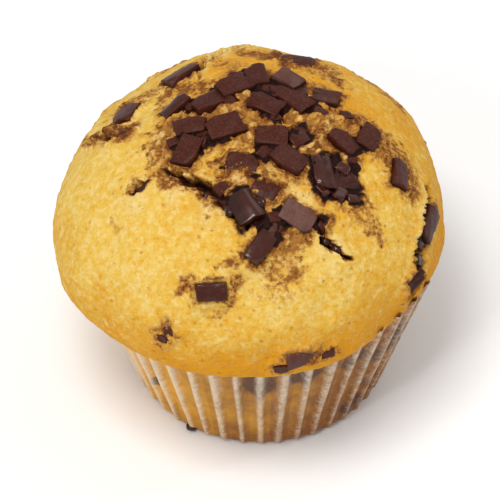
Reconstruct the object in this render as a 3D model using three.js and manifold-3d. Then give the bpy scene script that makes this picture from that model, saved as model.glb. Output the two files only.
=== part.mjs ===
// A chocolate chunk muffin baked in a pleated paper case, at its real size in millimetres.
// +Z is up, the origin is the middle of the case's flat foot, and -Y is the muffin's front.
// The cake is one solid: a plug that fills the case, a domed top that has spread over the
// case's edge, the cracks where the crust tore in the oven, and the chocolate chunks baked
// into the crust. The case is a second solid, a thin pleated cup round the plug.

import * as THREE from "three";
import { mergeVertices } from "three/addons/utils/BufferGeometryUtils.js";
import Module from "manifold-3d";

// Paper case
const FOOT_RADIUS = 25; // over the pleats, where the case stands
const WALL_SLOPE = 0.29; // outward lean for each millimetre of height
const PLEATS = 44;
const PLEAT_DEPTH_AT_FOOT = 0.9;
const PLEAT_DEPTH_AT_EDGE = 1.3;
const PLEAT_CREST_SHARE = 0.18; // half the width of a crest, as a share of the pitch
const PLEAT_PANEL_BOW = 0.94; // the panel between two crests bows out a little
const CASE_HEIGHT = 30; // of the flat paper wall before the cake's lip closes over it
const PAPER = 0.35;
const PLAY = 0.3; // between the paper and the cake

// Cake
const TOP_RADIUS = 37.8; // at the widest ring
const RING_HEIGHT = 36.6; // of the widest ring above the table
const TOP_RISE = 26.7; // from the widest ring to the crown
const LIP_DROP = 9.6; // from the widest ring to the underside, at the middle
const TOP_OFFSET = new THREE.Vector3(-2, 0.8, RING_HEIGHT); // the top leans a little to the left
const DOME_POWER = 2.15; // 2 is an ellipse, more is squarer
const LIP_POWER = 2.4;
const COLUMNS = 80;
const DOME_ROWS = 22;
const PLUG_ROWS = 3;
const HALVINGS = 40; // enough to close in on a height below the last digit

// Places on the top are a bearing, in degrees round the muffin from +X towards +Y, and a
// rise, in degrees above the widest ring as seen from the ring's middle. The crown is 90.

// Swellings and hollows of the crust: bearing, rise, height and spread in millimetres
const SWELLINGS = [
  [145, 40, -2.0, 13],
  [208, -4, 1.4, 13],
  [40, 22, 1.4, 14],
  [320, -6, -1.4, 12],
  [166, 24, -0.6, 8],
  [248, 44, 1.1, 11],
  [228, 66, -1.2, 7],
  [326, 50, -1.3, 6],
  [278, 34, -0.8, 6],
  [10, 66, 0.7, 7],
  [95, 30, 0.9, 11],
];

// Cracks: width and depth in millimetres at the middle, then the bearing and rise of each turn.
// They narrow towards their ends.
const CRACK_END_SHARE = 0.25;
const CRACK_CLEARANCE = 2.5; // how far a cutter stands over the crust
const CRACKS = [
  { width: 2.2, depth: 2.6, path: [[160, 15], [163, 24], [168, 35], [167, 44]] },
  { width: 3.2, depth: 3.3, path: [[207, 40], [206, 43], [205, 46]] },
  { width: 2.8, depth: 4.2, path: [[204, 52], [218, 56], [230, 57], [243, 57], [255, 54], [269, 46]] },
  { width: 2.4, depth: 3.6, path: [[303, 45], [302, 38], [305, 33], [309, 28]] },
  { width: 4.6, depth: 4.1, path: [[358, 20], [346, 17], [334, 12], [325, 4]] },
  { width: 2.4, depth: 3.0, path: [[88, 24], [96, 33], [112, 40], [120, 50]] },
  { width: 2.6, depth: 3.4, path: [[50, -2], [57, 7], [58, 17]] },
];

// Chunks as they lie in the crust: bearing, rise, heading of the long side in plan, length,
// width, and how deep the underside is pressed into the crust
const CHUNK_THICKNESS = 3.1;
const CHUNK_SHOULDER = 0.62; // where its top starts to round off, as a share of height and width
const CHUNKS = [
  [70, 41, -15, 8.0, 3.8, 2.2],
  [123, 40, 35, 7.4, 4.4, 1.8],
  [153, 34, 70, 6.6, 4.6, 1.8],
  [150, 56, 35, 6.4, 3.2, 1.2],
  [136, 67, 30, 7.0, 4.2, 1.6],
  [104, 65, 28, 7.2, 4.8, 1.4],
  [85, 60, 100, 6.0, 4.4, 1.0],
  [63, 76, -28, 6.6, 4.2, 1.2],
  [62, 58, -35, 5.6, 4.2, 1.0],
  [40, 66, -45, 6.6, 4.6, 1.6],
  [36, 54, -10, 5.4, 4.2, 1.5],
  [174, 66, 5, 6.4, 4.2, 1.6],
  [202, 63, 66, 6.4, 4.6, 1.2],
  [178, 80, 20, 7.6, 5.2, 1.6],
  [330, 80, -5, 6.2, 4.6, 1.6],
  [344, 70, 40, 4.4, 3.4, 1.6],
  [314, 68, -38, 6.8, 5.0, 1.6],
  [260, 72, -20, 6.4, 4.2, 2.2],
  [328, 55, 72, 7.4, 5.6, 0.8],
  [329, 46, 25, 5.4, 4.0, 2.0],
  [355, 54, -35, 6.2, 4.4, 1.5],
  [3, 45, 65, 6.0, 5.0, 1.5],
  [351, 33, 95, 6.6, 4.2, 1.5],
  [267, 53, -62, 7.0, 5.2, 0.6],
  [281, 60, -25, 5.2, 4.2, 2.4],
  [295, 47, -25, 7.0, 5.0, 1.4],
  [274, 40, 64, 6.6, 4.4, 1.3],
  [282, 46, 60, 4.6, 3.6, 2.3],
  [257, 26, 8, 6.6, 4.6, 1.4],
  [245, 10, 50, 4.4, 3.8, 2.5],
  [286, 3, 14, 8.0, 4.0, 2.4],
  [345, 16, 80, 7.4, 4.4, 1.9],
  [328, 8, 50, 5.6, 4.4, 1.9],
  [167, 40, 80, 4.2, 3.4, 2.6],
  // Round the back, where the crust turns away from the front
  [32, 3, 70, 6.4, 4.4, 1.6],
  [44, 10, -20, 5.6, 4.2, 2.0],
  [64, -3, 30, 7.2, 4.8, 1.5],
  [72, 13, 85, 6.0, 4.6, 1.7],
  [84, 3, 10, 6.6, 4.4, 2.1],
  [93, 20, -35, 6.8, 5.0, 2.2],
  [104, 8, 55, 5.6, 4.0, 1.4],
  [118, 16, 20, 7.0, 4.4, 2.0],
  [126, 1, -60, 6.2, 4.8, 1.7],
  [141, 9, 40, 5.4, 4.2, 1.8],
  [154, -1, 80, 6.6, 4.2, 2.0],
  [79, -8, -10, 4.4, 3.6, 2.3],
  [111, -6, 60, 4.6, 3.6, 2.2],
];

const wasm = await Module();
wasm.setup();

// The unit vector for a bearing and a rise in degrees.
function direction(bearing, rise) {
  const around = THREE.MathUtils.degToRad(bearing);
  const above = THREE.MathUtils.degToRad(rise);
  const across = Math.cos(above);
  return new THREE.Vector3(Math.cos(around) * across, Math.sin(around) * across, Math.sin(above));
}

// Distance from the ring's middle to the crust along a unit vector.
const swellings = SWELLINGS.map(([bearing, rise, height, spread]) => ({
  middle: direction(bearing, rise),
  height,
  spread,
}));
function crustDistance(way) {
  const across = Math.hypot(way.x, way.y);
  const [reach, power] = way.z >= 0 ? [TOP_RISE, DOME_POWER] : [LIP_DROP, LIP_POWER];
  const sum = (across / TOP_RADIUS) ** power + (Math.abs(way.z) / reach) ** power;
  let distance = sum ** (-1 / power);
  for (const { middle, height, spread } of swellings) {
    const arc = way.angleTo(middle) * TOP_RADIUS;
    distance += height * Math.exp(-((arc / spread) ** 2));
  }
  return distance;
}

// The point of the crust along a unit vector.
function crustPoint(way) {
  return way.clone().multiplyScalar(crustDistance(way)).add(TOP_OFFSET);
}

// The crust's outward normal along a unit vector, from two short steps over it.
function crustNormal(way) {
  const step = 0.02;
  const nearCrown = Math.abs(way.z) > 0.9;
  const helper = nearCrown ? new THREE.Vector3(1, 0, 0) : new THREE.Vector3(0, 0, 1);
  const east = helper.cross(way).normalize();
  const north = way.clone().cross(east);
  const slope = (side) => {
    const ahead = way.clone().addScaledVector(side, step).normalize();
    const behind = way.clone().addScaledVector(side, -step).normalize();
    return crustPoint(ahead).sub(crustPoint(behind));
  };
  return slope(east).cross(slope(north)).normalize();
}

// The case's outer radius over the pleats' crests, and the pleats' depth, at a height.
const crestRadius = (height) => FOOT_RADIUS + WALL_SLOPE * height;
const pleatDepth = (height) =>
  THREE.MathUtils.lerp(PLEAT_DEPTH_AT_FOOT, PLEAT_DEPTH_AT_EDGE, height / CASE_HEIGHT);
const plugRadius = (height) => crestRadius(height) - pleatDepth(height) - PAPER - PLAY;

// The height at which the plug's side meets the underside of the cake's lip.
function junctionHeight(around) {
  let low = RING_HEIGHT / 2;
  let high = RING_HEIGHT;
  for (let halving = 0; halving < HALVINGS; halving++) {
    const height = (low + high) / 2;
    const point = new THREE.Vector3(Math.cos(around), Math.sin(around), 0);
    point.multiplyScalar(plugRadius(height)).setZ(height).sub(TOP_OFFSET);
    const inside = point.length() < crustDistance(point.clone().normalize());
    if (inside) high = height;
    else low = height;
  }
  return (low + high) / 2;
}

// A geometry from points and triangles.
function geometryOf(points, triangles) {
  const geometry = new THREE.BufferGeometry().setFromPoints(points);
  return geometry.setIndex(triangles.flat());
}

// Two triangles for each cell between neighbouring rings of the same number of points.
function stitch(rings, columns) {
  const triangles = [];
  for (let ring = 0; ring + 1 < rings.length; ring++) {
    for (let column = 0; column < columns; column++) {
      const next = (column + 1) % columns;
      const [a, b] = [rings[ring] + column, rings[ring] + next];
      const [c, d] = [rings[ring + 1] + column, rings[ring + 1] + next];
      triangles.push([a, c, b], [b, c, d]);
    }
  }
  return triangles;
}

// A fan that closes a ring with one middle point.
function fan(middle, ring, columns, flipped) {
  return Array.from({ length: columns }, (_, column) => {
    const [a, b] = [ring + column, ring + ((column + 1) % columns)];
    return flipped ? [middle, b, a] : [middle, a, b];
  });
}

// The cake before it is torn: the dome, its lip, and the plug down to the case's floor.
function bareCake() {
  const floor = PAPER + PLAY;
  const points = [crustPoint(direction(0, 90))];
  const rings = [];
  const columns = Array.from({ length: COLUMNS }, (_, column) => {
    const around = (2 * Math.PI * column) / COLUMNS;
    const junction = junctionHeight(around);
    const meeting = new THREE.Vector3(Math.cos(around), Math.sin(around), 0)
      .multiplyScalar(plugRadius(junction))
      .setZ(junction);
    const way = meeting.sub(TOP_OFFSET).normalize();
    const bearing = THREE.MathUtils.radToDeg(Math.atan2(way.y, way.x));
    return { around, junction, bearing, lowest: THREE.MathUtils.radToDeg(Math.asin(way.z)) };
  });
  for (let row = 1; row <= DOME_ROWS; row++) {
    rings.push(points.length);
    for (const { bearing, lowest } of columns) {
      const rise = THREE.MathUtils.lerp(90, lowest, row / DOME_ROWS);
      points.push(crustPoint(direction(bearing, rise)));
    }
  }
  for (let row = 1; row <= PLUG_ROWS; row++) {
    rings.push(points.length);
    for (const { around, junction } of columns) {
      const height = THREE.MathUtils.lerp(junction, floor, row / PLUG_ROWS);
      const radius = plugRadius(height);
      points.push(new THREE.Vector3(Math.cos(around) * radius, Math.sin(around) * radius, height));
    }
  }
  points.push(new THREE.Vector3(0, 0, floor));
  return geometryOf(points, [
    ...fan(0, rings[0], COLUMNS, false),
    ...stitch(rings, COLUMNS),
    ...fan(points.length - 1, rings.at(-1), COLUMNS, true),
  ]);
}

// A wedge along a crack's path, open above the crust and pointed below it.
function crackCutter({ width, depth, path }) {
  const turns = path.map(([bearing, rise]) => direction(bearing, rise));
  const line = new THREE.CatmullRomCurve3(turns);
  const sections = 2 * path.length;
  const points = [];
  for (let section = 0; section <= sections; section++) {
    const share = section / sections;
    const way = line.getPoint(share).normalize();
    const along = line.getTangent(share);
    const normal = crustNormal(way);
    const aside = along.cross(normal).normalize();
    const fullness = THREE.MathUtils.lerp(CRACK_END_SHARE, 1, Math.sin(Math.PI * share));
    const half = (width / 2) * fullness;
    const above = crustPoint(way).addScaledVector(normal, CRACK_CLEARANCE);
    const flare = half * (1 + CRACK_CLEARANCE / (depth * fullness));
    points.push(above.clone().addScaledVector(aside, flare));
    points.push(above.clone().addScaledVector(aside, -flare));
    points.push(crustPoint(way).addScaledVector(normal, -depth * fullness));
  }
  const rings = Array.from({ length: sections + 1 }, (_, section) => 3 * section);
  const last = rings.at(-1);
  return geometryOf(points, [[0, 1, 2], ...stitch(rings, 3), [last, last + 2, last + 1]]);
}

// A chunk cut from a strip of chocolate, flat below and rounded above, lying along +X.
function chunkGeometry(length, width) {
  const half = width / 2;
  const top = CHUNK_THICKNESS;
  const outline = new THREE.Shape([
    new THREE.Vector2(-half, 0),
    new THREE.Vector2(half, 0),
    new THREE.Vector2(half, CHUNK_SHOULDER * top),
    new THREE.Vector2(CHUNK_SHOULDER * half, top),
    new THREE.Vector2(-CHUNK_SHOULDER * half, top),
    new THREE.Vector2(-half, CHUNK_SHOULDER * top),
  ]);
  const bar = new THREE.ExtrudeGeometry(outline, { depth: length, bevelEnabled: false });
  bar.translate(0, 0, -length / 2);
  bar.rotateX(Math.PI / 2);
  bar.rotateZ(Math.PI / 2);
  return bar;
}

// A chunk where it lies in the crust.
function placedChunk([bearing, rise, heading, length, width, sink]) {
  const way = direction(bearing, rise);
  const normal = crustNormal(way);
  const along = direction(heading, 0).projectOnPlane(normal).normalize();
  const aside = normal.clone().cross(along);
  const place = crustPoint(way).addScaledVector(normal, -sink);
  const pose = new THREE.Matrix4().makeBasis(along, aside, normal).setPosition(place);
  return chunkGeometry(length, width).applyMatrix4(pose);
}

// A manifold solid from a three.js geometry, and back.
function solidOf(geometry) {
  const bare = geometry.index ? geometry.toNonIndexed() : geometry.clone();
  bare.deleteAttribute("normal");
  bare.deleteAttribute("uv");
  const merged = mergeVertices(bare, 1e-4);
  const mesh = new wasm.Mesh({
    numProp: 3,
    vertProperties: merged.attributes.position.array,
    triVerts: new Uint32Array(merged.index.array),
  });
  return new wasm.Manifold(mesh);
}
function geometryFrom(solid) {
  const { vertProperties, triVerts } = solid.getMesh();
  const geometry = new THREE.BufferGeometry();
  geometry.setAttribute("position", new THREE.BufferAttribute(vertProperties, 3));
  geometry.setIndex(new THREE.BufferAttribute(triVerts, 1));
  geometry.computeVertexNormals();
  return geometry;
}

// The whole cake: torn along the cracks, with the chunks fused into the crust.
function cakeGeometry() {
  let cake = solidOf(bareCake());
  for (const crack of CRACKS) cake = cake.subtract(solidOf(crackCutter(crack)));
  for (const chunk of CHUNKS) cake = cake.add(solidOf(placedChunk(chunk)));
  return geometryFrom(cake);
}

// The four points of one pleat: the share of its width, and how far inwards it is folded.
const PLEAT_POINTS = [
  [0, 0],
  [PLEAT_CREST_SHARE, 1],
  [0.5, PLEAT_PANEL_BOW],
  [1 - PLEAT_CREST_SHARE, 1],
];

// One turn of the pleated wall, moved inwards by inset. The share says how far up the wall
// it runs, from the foot at 0 to just under the cake's lip at 1.
function pleatedRing(share, inset, foot) {
  const points = [];
  for (let pleat = 0; pleat < PLEATS; pleat++) {
    for (const [along, inward] of PLEAT_POINTS) {
      const around = (2 * Math.PI * (pleat + along)) / PLEATS;
      const edge = junctionHeight(around) - PLAY;
      const height = THREE.MathUtils.lerp(foot, edge, share);
      const radius = crestRadius(height) - inward * pleatDepth(height) - inset;
      points.push(new THREE.Vector3(Math.cos(around) * radius, Math.sin(around) * radius, height));
    }
  }
  return points;
}

// The paper case: a pleated wall up to the cake's lip, with a flat foot.
function caseGeometry() {
  const columns = PLEATS * PLEAT_POINTS.length;
  const points = [
    ...[0, 0.5, 1].flatMap((share) => pleatedRing(share, 0, 0)),
    ...[1, 0.5, 0].flatMap((share) => pleatedRing(share, PAPER, PAPER)),
  ];
  const rings = Array.from({ length: 6 }, (_, ring) => ring * columns).reverse();
  const floorPoint = points.push(new THREE.Vector3(0, 0, PAPER)) - 1;
  const footPoint = points.push(new THREE.Vector3(0, 0, 0)) - 1;
  return geometryOf(points, [
    ...stitch(rings, columns),
    ...fan(floorPoint, 5 * columns, columns, false),
    ...fan(footPoint, 0, columns, true),
  ]);
}

// Finishes
const crust = new THREE.MeshStandardMaterial({ color: 0xe2ab45, roughness: 0.85, metalness: 0 });
const paper = new THREE.MeshStandardMaterial({ color: 0xc09a5c, roughness: 0.6, metalness: 0 });

const muffin = new THREE.Group();
const cake = new THREE.Mesh(cakeGeometry(), crust);
cake.name = "cake";
const paperCase = new THREE.Mesh(caseGeometry(), paper);
paperCase.name = "paper_case";
muffin.add(cake, paperCase);

export default muffin;
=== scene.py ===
# The looks of a chocolate chunk muffin in its pleated paper case, round its CAD model.
# Places on the top are a bearing, in degrees round the muffin from +X towards +Y, and a
# rise, in degrees above the widest ring as seen from the ring's middle. The crown is 90.
# Lengths in the tables are in millimetres, and every mesh is turned to metres when it is made.

import math
from collections import namedtuple

import bmesh
import bpy
import numpy as np
from bpy.props import FloatProperty, FloatVectorProperty, IntProperty, PointerProperty
from mathutils import Euler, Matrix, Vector, noise


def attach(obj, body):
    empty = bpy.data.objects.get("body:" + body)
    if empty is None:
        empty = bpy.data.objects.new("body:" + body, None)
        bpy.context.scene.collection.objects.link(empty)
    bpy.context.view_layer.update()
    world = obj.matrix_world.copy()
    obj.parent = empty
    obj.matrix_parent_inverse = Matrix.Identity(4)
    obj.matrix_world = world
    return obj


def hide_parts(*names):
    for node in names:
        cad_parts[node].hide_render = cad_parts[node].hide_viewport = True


bl_info = {
    "name": "Chocolate Chunk Muffin",
    "version": (1, 0, 0),
    "blender": (4, 5, 0),
    "location": "View3D > Sidebar > Muffin",
    "description": "Bakes a chocolate chunk muffin in a pleated paper case round its CAD model",
    "category": "Object",
}

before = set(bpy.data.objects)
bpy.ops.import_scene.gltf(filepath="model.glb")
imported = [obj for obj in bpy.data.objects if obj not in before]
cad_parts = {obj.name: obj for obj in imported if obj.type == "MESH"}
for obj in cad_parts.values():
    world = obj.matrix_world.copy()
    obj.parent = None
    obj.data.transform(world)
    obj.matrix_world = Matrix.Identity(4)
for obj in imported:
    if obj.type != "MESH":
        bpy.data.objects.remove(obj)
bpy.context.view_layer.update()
BODY = "root"
MM = 0.001

# The paper case and the cake as the CAD model has them
FOOT_RADIUS = 25.0
WALL_SLOPE = 0.29
PLEATS = 44
PLEAT_DEPTH_AT_FOOT = 0.9
PLEAT_DEPTH_AT_EDGE = 1.3
CASE_HEIGHT = 30.0
PLUG_GAP = 0.65  # the paper's thickness in the CAD model and the play behind it
PLUG_FLOOR = 0.4  # the plug's underside, over the paper of the foot
TOP_RADIUS = 37.8
RING_HEIGHT = 36.6
TOP_RISE = 26.7
LIP_DROP = 9.6
TOP_OFFSET = np.array([-2.0, 0.8, RING_HEIGHT])
DOME_POWER = 2.15
LIP_POWER = 2.4

# Swellings and hollows of the crust: bearing, rise, height and spread
SWELLINGS = [
    (145, 40, -2.0, 13),
    (208, -4, 1.4, 13),
    (40, 22, 1.4, 14),
    (320, -6, -1.4, 12),
    (166, 24, -0.6, 8),
    (248, 44, 1.1, 11),
    (228, 66, -1.2, 7),
    (326, 50, -1.3, 6),
    (278, 34, -0.8, 6),
    (10, 66, 0.7, 7),
    (95, 30, 0.9, 11),
]

# Smaller dents and lumps that the CAD model leaves out
DIMPLES = [
    (214, 27, -0.55, 2.2),
    (275, 30, -1.1, 2.4),
    (262, 20, -0.5, 2.6),
    (289, 36, -0.6, 2.4),
    (210, 40, 0.7, 4.0),
    (223, 50, 0.9, 3.6),
    (248, 50, 0.8, 3.2),
    (205, 44, -0.9, 2.0),
    (303, 29, 0.5, 3.5),
    (343, 14, -0.8, 4.5),
    (13, 63, 0.9, 2.6),
    (287, 66, 0.6, 3.0),
    (60, 30, 0.6, 5.0),
    (120, 20, -0.6, 5.0),
    (80, 14, 0.5, 6.0),
    (258, 18, -0.7, 2.4),
    (268, 28, -0.5, 3.0),
    (270, 13, 0.4, 3.4),
    (238, 36, -0.4, 2.6),
    (228, 22, 0.4, 4.0),
    (216, 12, -0.4, 3.6),
    (292, 19, -0.4, 2.4),
]

# Where the crust tore and shows pale crumb: bearing, rise, spread and strength
TORN = [
    (210, 41, 4.5, 1.0),
    (223, 52, 4.5, 1.0),
    (249, 51, 4.5, 0.9),
    (155, 68, 6.0, 0.8),
    (190, 54, 6.0, 0.8),
    (287, 66, 6.0, 0.9),
    (10, 60, 5.5, 0.8),
    (302, 54, 5.0, 0.9),
    (60, 66, 5.5, 0.7),
    (275, 30, 3.5, 0.7),
    (300, 30, 5.0, 0.6),
    (343, 14, 5.0, 0.6),
    (160, 20, 4.0, 0.6),
    (104, 38, 5.5, 0.6),
    (57, 8, 5.0, 0.6),
]

# Where chocolate was drawn through the batter in streaks: width, strength, and the bearing
# and rise of each turn
Streak = namedtuple("Streak", "width strength path")
STREAKS = [
    Streak(4.6, 0.85, [(92, 38), (76, 42), (65, 41), (54, 40), (42, 44)]),
    Streak(3.4, 0.85, [(84, 57), (63, 55), (46, 54), (32, 48)]),
    Streak(4.0, 0.75, [(148, 47), (134, 45), (126, 52), (112, 58)]),
    Streak(3.4, 0.70, [(152, 25), (140, 32), (132, 38)]),
    Streak(3.0, 1.00, [(159, 16), (164, 27), (165, 34), (160, 35)]),
    Streak(4.4, 1.00, [(30, 56), (16, 51), (10, 46), (3, 38), (352, 36)]),
    Streak(5.0, 0.80, [(13, 42), (4, 34), (356, 29), (347, 27)]),
    Streak(3.0, 0.90, [(10, 50), (16, 46), (10, 43)]),
    Streak(2.6, 0.85, [(331, 42), (327, 37), (324, 31), (322, 27)]),
    Streak(3.2, 0.75, [(30, 71), (20, 64), (10, 58), (4, 52)]),
    Streak(2.6, 0.95, [(350, 71), (0, 63), (356, 59)]),
    Streak(1.9, 0.95, [(252, 63), (236, 65), (228, 68), (234, 73), (262, 75)]),
    Streak(3.0, 0.80, [(330, 46), (327, 39), (326, 34), (324, 29)]),
    Streak(2.4, 0.65, [(319, 45), (322, 36), (322, 30)]),
    Streak(3.0, 0.90, [(206, 50), (216, 52), (226, 56), (238, 56), (252, 54)]),
    Streak(2.4, 1.00, [(206, 40), (206, 44), (205, 48)]),
    Streak(2.4, 0.75, [(201, 48), (195, 51), (189, 54)]),
    Streak(3.0, 0.60, [(276, 30), (280, 34), (286, 38), (294, 42)]),
    Streak(3.0, 0.65, [(277, 27), (283, 30), (289, 31)]),
    Streak(2.2, 0.90, [(246, 24), (249, 27), (252, 24)]),
    Streak(2.2, 0.80, [(263, 23), (264, 28), (263, 31)]),
    Streak(1.8, 0.80, [(257, 34), (261, 35), (265, 34)]),
    Streak(1.1, 1.10, [(246, 48), (250, 48)]),
    Streak(1.8, 0.90, [(277, 0), (284, 3), (293, 4)]),
    Streak(1.6, 0.80, [(243, 8), (247, 11)]),
    Streak(3.4, 0.95, [(324, 5), (328, 10), (336, 14), (343, 17), (354, 14)]),
    Streak(9.0, 0.55, [(150, 68), (110, 64), (70, 70), (30, 66)]),
    Streak(7.0, 0.50, [(190, 78), (260, 84), (330, 76)]),
    Streak(4.0, 0.70, [(136, 12), (118, 20), (98, 17)]),
    Streak(3.6, 0.60, [(64, 18), (46, 25), (30, 22)]),
    Streak(3.0, 0.60, [(112, 34), (99, 47), (90, 50)]),
    Streak(3.0, 0.60, [(86, 6), (74, 12), (60, 8)]),
    Streak(4.0, 0.60, [(150, 4), (128, 8), (112, 2)]),
    Streak(2.0, 0.42, [(254, 21), (258, 18), (263, 20)]),
    Streak(3.4, 0.30, [(266, 30), (272, 26), (280, 24), (288, 26)]),
    Streak(1.6, 0.32, [(209, 30), (213, 29), (217, 32)]),
]
# Where chunks lie close and the crumb between them is loose and brown: bearing, rise, spread
# and strength
CROWDS = [
    (183, 62, 11, 1.0),
    (160, 78, 12, 1.0),
    (60, 72, 13, 1.0),
    (270, 62, 10, 1.0),
    (350, 62, 11, 1.0),
    (10, 46, 6, 1.0),
    (286, 42, 7, 1.0),
]
# Above this rise chocolate melted into the gaps between the chunks, and its dark there is partly painted
# shade
POOL_RISE = 35
# How strongly a chunk stains the crumb round it: rises, and the strength at each
STAIN_AT_RISE = ([10, 28, 45], [0.45, 0.60, 0.95])
# The streaks turn round this place on the crown
SWIRL_BEARING = 150
SWIRL_RISE = 80

# Cracks with their width and depth at the middle, the bearing and rise of each turn, and
# how much melted chocolate ran to their bottom; its dark there is partly painted shade
Crack = namedtuple("Crack", "width depth melt path")
CRACK_END_SHARE = 0.4
CRACK_EDGE_WIDTH = 1.3
CRACKS = [
    Crack(1.9, 2.4, 1.0, [(160, 15), (163, 24), (168, 35), (167, 44)]),
    Crack(3.6, 2.6, 1.0, [(207, 40), (206, 43), (205, 46)]),
    Crack(3.2, 4.2, 1.0, [(204, 52), (218, 56), (230, 57), (243, 57), (255, 54), (269, 46)]),
    Crack(2.4, 3.6, 1.0, [(303, 45), (302, 38), (305, 33), (309, 28)]),
    Crack(6.0, 4.6, 1.0, [(358, 20), (346, 17), (334, 12), (325, 4)]),
    Crack(2.4, 3.0, 0.3, [(88, 24), (96, 33), (112, 40), (120, 50)]),
    Crack(2.4, 1.8, 1.0, [(46, 72), (28, 77), (14, 75)]),
    Crack(1.8, 1.4, 1.0, [(184, 74), (190, 67)]),
    Crack(1.4, 1.2, 1.0, [(236, 68), (252, 69)]),
    Crack(2.6, 3.4, 0.4, [(50, -2), (57, 7), (58, 17)]),
]

# Chunks as they lie in the crust: bearing, rise, heading of the long side in plan, length,
# width, and how deep the underside is pressed in. Cut is the form of its top. Cover says how
# far the crust climbed over it, gloss how much it melted, and bloom how grey it set.
CHUNK_THICKNESS = 3.1
Chunk = namedtuple(
    "Chunk",
    "bearing rise heading length width sink cut cover gloss bloom",
    defaults=("bar", 0.0, 0.35, 0.15),
)
CHUNKS = [
    Chunk(70, 41, -15, 8.0, 3.8, 2.2, "bar", cover=0.5, gloss=0.1, bloom=0.2),
    Chunk(123, 40, 35, 7.4, 4.4, 1.8, "bar", gloss=0.2, bloom=0.2),
    Chunk(153, 34, 70, 6.6, 4.6, 1.8, "bar", gloss=0.2),
    Chunk(150, 56, 35, 6.4, 3.2, 1.2, "bar", gloss=0.7),
    Chunk(136, 67, 30, 7.0, 4.2, 1.6, "slab", gloss=0.3),
    Chunk(104, 65, 28, 7.2, 4.8, 1.4, "slab", gloss=0.2),
    Chunk(85, 60, 100, 6.0, 4.4, 1.0, "bar", gloss=0.3),
    Chunk(63, 76, -28, 6.6, 4.2, 1.2, "bar", gloss=0.4),
    Chunk(62, 58, -35, 5.6, 4.2, 1.0, "slab", gloss=0.3, bloom=0.6),
    Chunk(40, 66, -45, 6.6, 4.6, 1.6, "slab", gloss=0.3),
    Chunk(36, 54, -10, 5.4, 4.2, 1.5, "lobed", gloss=0.4, bloom=0.5),
    Chunk(174, 66, 5, 6.4, 4.2, 1.6, "bar", gloss=0.3),
    Chunk(202, 63, 66, 6.4, 4.6, 1.2, "slab", gloss=0.2),
    Chunk(178, 80, 20, 7.6, 5.2, 1.6, "slab", gloss=0.2),
    Chunk(330, 80, -5, 6.2, 4.6, 1.6, "slab", gloss=0.2),
    Chunk(344, 70, 40, 3.8, 3.0, 1.6, "bar", gloss=0.6),
    Chunk(314, 68, -38, 6.8, 5.0, 1.6, "slab", gloss=0.3),
    Chunk(260, 72, -20, 6.4, 4.2, 2.2, "bar", cover=0.35, gloss=0.3),
    Chunk(328, 55, -75, 7.0, 5.6, 0.9, "lobed", gloss=1.0),
    Chunk(331, 47, 25, 4.8, 3.6, 1.6, "lobed", gloss=1.0),
    Chunk(355, 54, -35, 6.2, 4.0, 1.5, "slab", gloss=0.2),
    Chunk(3, 45, 65, 5.6, 4.4, 1.5, "slab", gloss=0.2),
    Chunk(351, 33, 88, 6.4, 3.6, 1.5, "bar", gloss=0.2, bloom=0.2),
    Chunk(267, 53, -62, 7.0, 5.2, 0.6, "ridge", gloss=0.9),
    Chunk(281, 60, -25, 5.2, 4.2, 2.4, "bar", gloss=0.5),
    Chunk(295, 47, -30, 6.6, 4.5, 1.4, "slab", gloss=0.3, bloom=0.8),
    Chunk(274, 40, 64, 6.6, 3.6, 1.3, "bar", gloss=0.8),
    Chunk(282, 46, 60, 4.6, 3.6, 2.3, "bar", cover=0.3, gloss=0.4),
    Chunk(257, 26, 8, 6.2, 3.8, 1.4, "bar", gloss=0.65, bloom=0.0),
    Chunk(245, 10, 50, 4.4, 3.8, 2.5, "bar", cover=0.34, gloss=0.2, bloom=0.1),
    Chunk(286, 4, 14, 7.2, 3.4, 2.4, "bar", cover=0.24, gloss=0.2, bloom=0.6),
    Chunk(345, 16, 80, 7.4, 4.4, 2.3, "bar", gloss=0.4, bloom=0.0),
    Chunk(328, 8, 50, 5.6, 4.4, 1.9, "lobed", gloss=0.3),
    Chunk(167, 40, 80, 4.2, 3.4, 2.6, "bar", cover=0.3, gloss=0.3),
    Chunk(32, 3, 70, 6.4, 4.4, 2.3, "bar", gloss=0.3, bloom=0.2),
    Chunk(44, 10, -20, 5.6, 4.2, 2.5, "slab", cover=0.25, gloss=0.2),
    Chunk(64, -3, 30, 7.2, 4.8, 1.5, "bar", gloss=0.5),
    Chunk(72, 13, 85, 6.0, 4.6, 1.7, "ridge", gloss=0.7),
    Chunk(84, 3, 10, 6.6, 4.4, 2.1, "bar", cover=0.4, gloss=0.2),
    Chunk(93, 20, -35, 6.8, 5.0, 2.6, "slab", cover=0.3, gloss=0.3, bloom=0.4),
    Chunk(104, 8, 55, 5.6, 4.0, 1.4, "bar", gloss=0.6),
    Chunk(118, 16, 20, 7.0, 4.4, 2.5, "bar", cover=0.2, gloss=0.3),
    Chunk(126, 1, -60, 6.2, 4.8, 1.7, "lobed", gloss=0.8),
    Chunk(141, 9, 40, 5.4, 4.2, 2.4, "slab", gloss=0.2, bloom=0.3),
    Chunk(154, -1, 80, 6.6, 4.2, 2.6, "bar", cover=0.3, gloss=0.4),
    Chunk(79, -8, -10, 4.4, 3.6, 2.3, "slab", cover=0.3, gloss=0.2),
    Chunk(111, -6, 60, 4.6, 3.6, 2.2, "bar", cover=0.2, gloss=0.3),
]

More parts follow.
